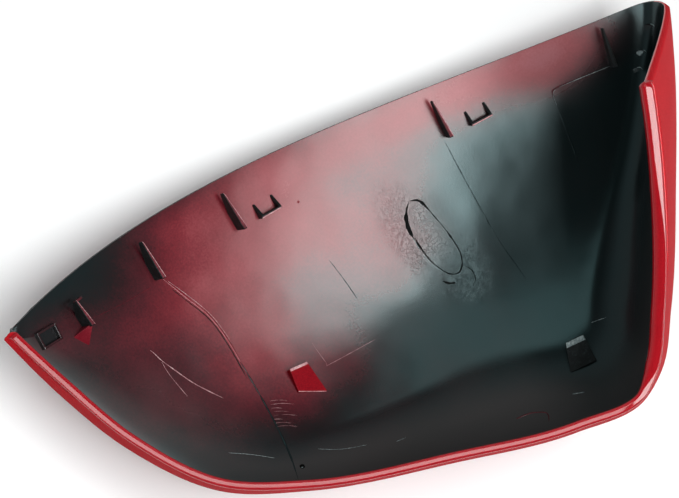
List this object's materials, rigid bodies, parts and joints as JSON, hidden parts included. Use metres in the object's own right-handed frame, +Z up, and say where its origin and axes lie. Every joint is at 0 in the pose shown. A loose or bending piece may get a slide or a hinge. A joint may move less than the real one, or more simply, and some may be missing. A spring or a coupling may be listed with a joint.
{
  "type": "wing mirror cover",
  "caption": "Painted shell that caps the back of a car door mirror: a deep rounded bowl with a tapered tip, a rolled rim, one thin cut edge, and moulded hooks and catches inside.",
  "frame": {"origin": "bottom centre of the bounding box, on the surface that the cover lies on", "axes": "+X along the thin edge from the tip to the deep end, +Y from the low side to the thin edge, +Z up out of the mirror opening as the cover lies at rest"},
  "size_m": [0.2606, 0.1388, 0.0861],
  "materials": {
    "painted_shell": "gloss red paint outside and on the rim, bare black plastic with a red mist of overspray inside"
  },
  "bodies": {
    "root": {"mirror_cover": "painted_shell"}
  },
  "joints": []
}
